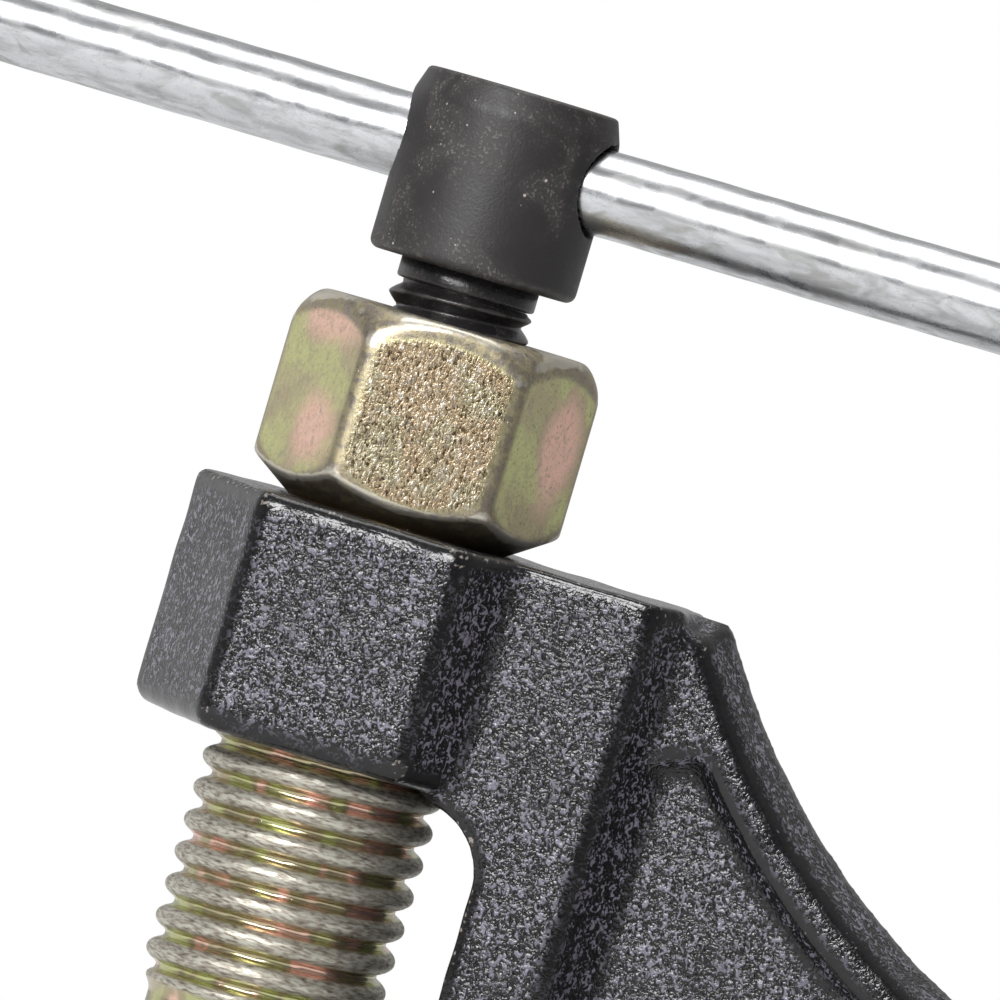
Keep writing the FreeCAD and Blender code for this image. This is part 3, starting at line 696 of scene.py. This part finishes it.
def makeWrinklePaint(values):
    v = values
    material, tree, shader, place = newMaterial("wrinklePaint", {"Metallic": 0.0, "Specular IOR Level": 0.45})
    edge, hollow = readValue(tree, "edge"), readValue(tree, "hollow")
    # worms and fine grain make the relief, and paint has flowed off the edges; the ridges get the tip colour,
    # a painted highlight standing in for glints of the lamps, except on the flowed-off edges
    worms = grain(tree, place, v["wormSize"], 1.0, 1.2)
    fine = grain(tree, place, v["grainSize"], 1.5, 0.6)
    broad = grain(tree, place, 9.0)
    relief = plus(tree, times(tree, worms, 0.6), times(tree, fine, 0.4))
    flow = oneLess(tree, times(tree, edge, 1.5, clamp=True), clamp=True)
    paintedGlints = times(tree, ramp(tree, relief, 0.51, 0.60), flow)
    paintedGlints = times(tree, paintedGlints, ramp(tree, broad, 0.10, 0.55))
    base = mixColour(tree, ramp(tree, relief, 0.38, 0.56), v["dark"], v["mid"])
    # painted highlight: the tip colour laid on the ridges as glints
    base = mixColour(tree, paintedGlints, base, v["tip"])
    # the paint goes to its darkest in the hollows, with no painted glints there
    base = mixColour(tree, ramp(tree, hollow, 0.2, 0.9), base, v["dark"])
    worn = placeGroup(tree, wearGroup, {"Vector": place, "Edge": edge, "Reach": v["wearReach"],
                                        "Size": 0.5})["Mask"]
    chips = placeGroup(tree, speckGroup, {"Vector": place, "Size": 1.7, "Share": v["chipShare"],
                                          "Spot": 0.07})["Mask"]
    bare = calc(tree, "MAXIMUM", worn, chips)
    base = mixColour(tree, times(tree, bare, 0.55), base, v["bare"])
    tree.links.new(base, shader.inputs["Base Color"])
    rough = mixValue(tree, ramp(tree, fine, 0.35, 0.65), v["roughLow"], v["roughHigh"])
    tree.links.new(rough, shader.inputs["Roughness"])
    height = times(tree, relief, plus(tree, times(tree, flow, 0.85), 0.15))
    addBump(tree, shader, [(height, 1.0, v["relief"])])
    return material


yellowZinc = {
    "olive": (0.38, 0.33, 0.21, 1), "green": (0.46, 0.47, 0.23, 1), "pink": (0.70, 0.46, 0.37, 1),
    "grey": (0.30, 0.265, 0.22, 1), "dark": (0.07, 0.050, 0.027, 1), "gold": (0.41, 0.31, 0.195, 1),
    "crest": (0.52, 0.51, 0.44, 1), "pit": (0.10, 0.09, 0.07, 1), "bright": (0.85, 0.82, 0.74, 1),
    # the last two are heights in metres: the painted shade over the head's seat is full below the first and
    # gone above the second
    "faceBoost": 0.42, "seatShadeFull": 0.0821, "seatShadeClear": 0.0832,
}


def makeYellowZinc(values):
    v = values
    material, tree, shader, place = newMaterial("yellowZinc", {"Specular IOR Level": 0.5})
    edge, crest, shank = readValue(tree, "edge"), readValue(tree, "crest"), readValue(tree, "shank")
    flat, burnish, pink = readValue(tree, "flat"), readValue(tree, "burnish"), readValue(tree, "pink")

    # colour of the plating: green with pink spots on the side faces, dull grey-olive round their rims
    broad, mottle = grain(tree, place, 5.0, 3.0, 0.8), grain(tree, place, 0.9, 4.0, 1.0)
    fine = grain(tree, place, 0.22, 3.0, 0.8)
    blotch = plus(tree, pink, calc(tree, "SUBTRACT", mixValue(tree, 0.35, broad, mottle), 0.5))
    film = mixColour(tree, ramp(tree, broad, 0.42, 0.62), v["green"], v["olive"])
    blotch = plus(tree, blotch, times(tree, calc(tree, "SUBTRACT", fine, 0.5), 0.5))
    film = mixColour(tree, ramp(tree, blotch, 0.15, 0.80), film, v["pink"])
    film = mixColour(tree, times(tree, ramp(tree, mottle, 0.50, 0.72), 0.45), film, v["grey"])
    rim = mixColour(tree, ramp(tree, mottle, 0.36, 0.64), v["grey"], v["olive"])
    film = mixColour(tree, flat, rim, mixColour(tree, v["faceBoost"], film, film, "ADD"))
    film = mixColour(tree, times(tree, ramp(tree, fine, 0.52, 0.70), 0.40), film, v["dark"])

    # worn faces: short strokes of dark brown, gold and silver
    stroke = mixValue(tree, 0.40, grain(tree, place, 0.44, 4.0, 0.9, (1.8, 1.8, 0.8)), fine)
    worn = mixColour(tree, ramp(tree, broad, 0.45, 0.60), v["gold"], v["olive"])
    worn = mixColour(tree, ramp(tree, stroke, 0.38, 0.50), v["dark"], worn)
    worn = mixColour(tree, ramp(tree, stroke, 0.53, 0.66), worn, v["bright"])
    worn = mixColour(tree, times(tree, ramp(tree, mottle, 0.54, 0.70), 0.6), worn, v["grey"])
    film = mixColour(tree, burnish, film, worn)

    # thread: dull streaked crests over glossy roots
    band = grain(tree, place, 2.6, 2.0, 0.4, (1, 1, 0.6))
    root = mixColour(tree, ramp(tree, band, 0.40, 0.50), v["green"], v["olive"])
    root = mixColour(tree, ramp(tree, band, 0.54, 0.62), root, v["pink"])
    streaks = grain(tree, place, 0.8, 4.0, 0.2, (1, 1, 4.5))
    top = mixColour(tree, ramp(tree, streaks, 0.38, 0.60), v["crest"], v["grey"])
    top = mixColour(tree, times(tree, ramp(tree, streaks, 0.58, 0.70), 0.8), top, v["pit"])
    onCrest = times(tree, ramp(tree, crest, 0.30, 0.62), shank)
    film = mixColour(tree, shank, film, mixColour(tree, onCrest, root, top))

    scratches = placeGroup(tree, scratchGroup, {"Vector": place, "Length": 2.2, "Share": 0.55})["Mask"]
    height = addNode(tree, "ShaderNodeSeparateXYZ", {0: place}).outputs["Z"]
    onHead = oneLess(tree, shank)
    # painted shade: just above its seat on the boss the head goes to the dark brown, standing in for the
    # shade where head and boss meet
    seat = times(tree, ramp(tree, height, v["seatShadeClear"], v["seatShadeFull"]), onHead)
    film = mixColour(tree, seat, film, v["dark"])
    bare = placeGroup(tree, wearGroup, {"Vector": place, "Edge": edge, "Reach": 0.50, "Size": 1.6})["Mask"]
    bright = calc(tree, "MAXIMUM", times(tree, scratches, 0.5), times(tree, bare, 0.45))
    film = mixColour(tree, times(tree, bright, onHead), film, v["bright"])
    tree.links.new(film, shader.inputs["Base Color"])
    tree.links.new(mixValue(tree, onCrest, 0.92, 0.80), shader.inputs["Metallic"])
    rough = mixValue(tree, ramp(tree, mottle, 0.35, 0.7), 0.34, 0.48)
    rough = mixValue(tree, burnish, rough, 0.30)
    rough = mixValue(tree, shank, rough, mixValue(tree, onCrest, 0.20, 0.46))
    tree.links.new(rough, shader.inputs["Roughness"])
    strokeHeight = times(tree, stroke, plus(tree, times(tree, burnish, 0.8), 0.2))
    addBump(tree, shader, [(times(tree, strokeHeight, onHead), 0.7, 0.11),
                           (scratches, 0.5, 0.03), (times(tree, streaks, onCrest), 0.6, 0.10)])
    return material


blackOxide = {
    "base": (0.014, 0.012, 0.012, 1), "dust": (0.085, 0.075, 0.073, 1), "speck": (0.50, 0.44, 0.41, 1),
    "dustShare": 0.28, "gritShare": 0.16, "speckShare": 0.65, "roughLow": 0.46, "roughHigh": 0.60,
}
glossyOxide = {
    "base": (0.012, 0.011, 0.012, 1), "dust": (0.085, 0.075, 0.073, 1), "speck": (0.50, 0.44, 0.41, 1),
    "dustShare": 0.18, "gritShare": 0.10, "speckShare": 0.35, "roughLow": 0.22, "roughHigh": 0.36,
}


def makeBlackOxide(name, values):
    v = values
    material, tree, shader, place = newMaterial(name, {"Metallic": 0.0, "Specular IOR Level": 0.55})
    edge = readValue(tree, "edge")
    clouds, grit = grain(tree, place, 4.0, 5.0, 0.8), grain(tree, place, 0.22)
    specks, bigSpecks = (placeGroup(tree, speckGroup, {"Vector": place, **sizes})["Mask"] for sizes in (
        {"Size": 0.42, "Share": 0.14, "Spot": 0.20}, {"Size": 1.1, "Share": 0.16, "Spot": 0.15}))
    specks = times(tree, specks, ramp(tree, clouds, 0.38, 0.62))
    worn = placeGroup(tree, wearGroup, {"Vector": place, "Edge": edge, "Reach": 0.30, "Size": 1.2})["Mask"]
    dusty = times(tree, ramp(tree, clouds, 0.46, 0.72), v["dustShare"])
    dusty = times(tree, dusty, plus(tree, times(tree, grit, 0.8), 0.5))
    tone = mixColour(tree, dusty, v["base"], v["dust"])
    dusting = times(tree, ramp(tree, grit, 0.56, 0.66), ramp(tree, clouds, 0.42, 0.66))
    tone = mixColour(tree, times(tree, dusting, v["gritShare"]), tone, v["speck"])
    tone = mixColour(tree, times(tree, worn, 0.30), tone, v["dust"])
    pale = calc(tree, "MAXIMUM", specks, bigSpecks)
    tone = mixColour(tree, times(tree, pale, v["speckShare"]), tone, v["speck"])
    tree.links.new(tone, shader.inputs["Base Color"])
    rough = mixValue(tree, ramp(tree, clouds, 0.35, 0.65), v["roughLow"], v["roughHigh"])
    tree.links.new(rough, shader.inputs["Roughness"])
    addBump(tree, shader, [(clouds, 0.4, 0.08), (grit, 0.5, 0.05)])
    return material


brightSteel = {
    "light": (0.56, 0.57, 0.59, 1), "frost": (0.42, 0.425, 0.44, 1), "stain": (0.27, 0.265, 0.245, 1),
    "roughLow": 0.24, "roughHigh": 0.36,
}


def makeBrightSteel(values):
    v = values
    material, tree, shader, place = newMaterial("brightSteel", {"Metallic": 1.0})
    # the grain runs along the bar
    barTurn = math.radians(-slidingBar["turn"])
    turned = addNode(tree, "ShaderNodeMapping", {"Vector": place, "Rotation": (0, 0, barTurn)}).outputs[0]

    streaks = grain(tree, turned, 0.9, 5.0, 0.4, (0.22, 1, 1))
    frost = grain(tree, turned, 0.30, 3.0, 0.5, (0.6, 1, 1))
    clouds = grain(tree, turned, 6.0, 4.0, 0.0, (0.5, 1, 1))
    dapple = grain(tree, turned, 1.3, 4.0, 0.8, (0.45, 1, 1))
    pits = placeGroup(tree, speckGroup, {"Vector": turned, "Size": 1.4, "Share": 0.12, "Spot": 0.06})["Mask"]
    tone = mixColour(tree, ramp(tree, streaks, 0.40, 0.68), v["light"], v["frost"])
    tone = mixColour(tree, times(tree, ramp(tree, dapple, 0.48, 0.68), 0.55), tone, v["stain"])
    tone = mixColour(tree, times(tree, ramp(tree, clouds, 0.56, 0.78), 0.35), tone, v["stain"])
    tone = mixColour(tree, times(tree, ramp(tree, frost, 0.52, 0.70), 0.25), tone, v["stain"])
    tone = mixColour(tree, times(tree, pits, 0.6), tone, v["stain"])
    tree.links.new(tone, shader.inputs["Base Color"])
    tree.links.new(mixValue(tree, ramp(tree, dapple, 0.40, 0.66), v["roughLow"], v["roughHigh"]),
                   shader.inputs["Roughness"])
    addBump(tree, shader, [(streaks, 0.20, 0.02), (frost, 0.20, 0.010)])
    return material


springSteel = {"light": (0.42, 0.42, 0.44, 1), "dark": (0.16, 0.15, 0.15, 1)}


def makeSpringSteel(values):
    material, tree, shader, place = newMaterial("springSteel", {"Metallic": 1.0})
    clouds, grit = grain(tree, place, 1.5, 4.0), grain(tree, place, 0.2, 2.0)
    tone = mixColour(tree, ramp(tree, clouds, 0.4, 0.65), values["light"], values["dark"])
    tree.links.new(tone, shader.inputs["Base Color"])
    tree.links.new(mixValue(tree, grit, 0.25, 0.45), shader.inputs["Roughness"])
    addBump(tree, shader, [(grit, 0.3, 0.02)])
    return material


# put together

finishes = {
    "wrinkle_paint": makeWrinklePaint(wrinklePaint),
    "yellow_zinc": makeYellowZinc(yellowZinc),
    "black_oxide": makeBlackOxide("blackOxide", blackOxide),
    "glossy_oxide": makeBlackOxide("glossyOxide", glossyOxide),
    "bright_steel": makeBrightSteel(brightSteel),
    "spring_steel": makeSpringSteel(springSteel),
}
print("finishes made")


def giveFinish(piece, finish):
    piece.data.materials.clear()
    piece.data.materials.append(finishes[finish])


giveFinish(buildFrame(castFrame), "wrinkle_paint")
giveFinish(buildPressureScrew(pressureScrew), "yellow_zinc")
giveFinish(buildDriveHead(driveScrew), "black_oxide")
giveFinish(buildDriveThread(driveScrew), "glossy_oxide")
giveFinish(buildReturnSpring(), "spring_steel")
buildBar(slidingBar, barKnob)
for name in ("slidingBar", "barKnobLeft", "barKnobRight"):
    giveFinish(bpy.data.objects[name], "bright_steel")
for node, finish in (("guide_nose", "glossy_oxide"), ("retaining_clip", "spring_steel"),
                     ("thrust_ball", "bright_steel"), ("punch_pin", "bright_steel")):
    giveFinish(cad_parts[node], finish)
print("finishes given")


# stage, lights and camera

# floor in metres, its drop in millimetres, and the studio's brightness from each side
stage = {"floorRadius": 0.45, "floorDrop": 0.4, "floorCorners": 96, "floorTone": 0.80, "backdrop": 1.0,
         "left": 0.38, "right": 0.26, "front": 0.12, "back": 0.55, "above": 0.50, "below": 0.42}
lamps = {
    "key": {"place": (-0.21, -0.87, 0.44), "size": (0.46, 0.34), "power": 10.5},
    "top": {"place": (-0.05, 0.05, 0.95), "size": (0.7, 0.5), "power": 4.0},
    "leftPanel": {"place": (-0.85, 0.45, 0.25), "size": (0.6, 0.9), "power": 0.8},
}
aim = {"place": (0.00678, 0.00112, 0.0859), "distance": 0.860, "azimuth": 9.5, "elevation": 1.25,
       "roll": 16.42, "width": 0.0750, "sensor": 36.0}


def lookAt(place, target):
    return (target - place).to_track_quat("-Z", "Y")


def buildStage(values):
    corners = values["floorCorners"]
    around = evenAngles(corners)
    rim = ringPoints(np.full_like(around, values["floorRadius"]), -values["floorDrop"] * mm, around)
    data = bpy.data.meshes.new("floor")
    data.from_pydata(rim.tolist(), [], [list(range(corners))])
    floor = newPiece("floor", data)
    material, tree, shader, place = newMaterial("floorPaper", {"Roughness": 0.9})
    fibre = grain(tree, place, 40.0)
    tone = values["floorTone"]
    tree.links.new(mixColour(tree, fibre, (tone, tone, tone, 1), (tone + 0.02, tone + 0.02, tone + 0.02, 1)),
                   shader.inputs["Base Color"])
    floor.data.materials.append(material)

    world = bpy.data.worlds.new("studio")
    bpy.context.scene.world = world
    world.use_nodes = True
    tree = world.node_tree
    tree.nodes.clear()
    direction = addNode(tree, "ShaderNodeTexCoord").outputs["Generated"]
    axes = addNode(tree, "ShaderNodeSeparateXYZ", {0: direction}).outputs
    side = mixValue(tree, ramp(tree, axes["X"], -0.5, 0.5), values["left"], values["right"])
    side = mixValue(tree, ramp(tree, axes["Y"], -0.45, -0.95), side, values["front"])
    side = mixValue(tree, ramp(tree, axes["Y"], 0.3, 0.9), side, values["back"])
    lift = mixValue(tree, ramp(tree, axes["Z"], 0.45, 0.95), side, values["above"])
    lift = mixValue(tree, ramp(tree, axes["Z"], -0.35, -0.9), lift, values["below"])
    seen = addNode(tree, "ShaderNodeLightPath").outputs["Is Camera Ray"]
    strength = mixValue(tree, seen, lift, values["backdrop"])
    background = addNode(tree, "ShaderNodeBackground", {"Color": (1, 1, 1, 1), "Strength": strength})
    out = addNode(tree, "ShaderNodeOutputWorld")
    tree.links.new(background.outputs[0], out.inputs[0])


def buildLamps(values, target):
    for name, lamp in values.items():
        data = bpy.data.lights.new(name, "AREA")
        data.shape = "RECTANGLE"
        data.size, data.size_y = lamp["size"]
        data.energy = lamp["power"]
        light = bpy.data.objects.new(name, data)
        bpy.context.scene.collection.objects.link(light)
        place = Vector(lamp["place"])
        light.location = place
        light.rotation_mode = "QUATERNION"
        light.rotation_quaternion = lookAt(place, target)


def buildCamera(values):
    v = values
    target = Vector(v["place"])
    azimuth, elevation, roll = (math.radians(v[k]) for k in ("azimuth", "elevation", "roll"))
    back = Vector((math.sin(azimuth) * math.cos(elevation), -math.cos(azimuth) * math.cos(elevation),
                   math.sin(elevation)))
    right = back.cross(Vector((0, 0, 1))).normalized() * -1
    up = back.cross(right)
    data = bpy.data.cameras.new("camera")
    data.sensor_width = v["sensor"]
    data.lens = v["sensor"] * v["distance"] / v["width"]
    data.clip_start, data.clip_end = 0.05, 30
    camera = bpy.data.objects.new("camera", data)
    bpy.context.scene.collection.objects.link(camera)
    turnedRight = right * math.cos(roll) + up * math.sin(roll)
    turnedUp = up * math.cos(roll) - right * math.sin(roll)
    rotation = Matrix((turnedRight, turnedUp, back)).transposed()
    camera.matrix_world = Matrix.Translation(target + back * v["distance"]) @ rotation.to_4x4()
    bpy.context.scene.camera = camera
    return target


buildStage(stage)
target = buildCamera(aim)
buildLamps(lamps, target)
bpy.context.scene.view_settings.view_transform = "Standard"
print("stage ready")
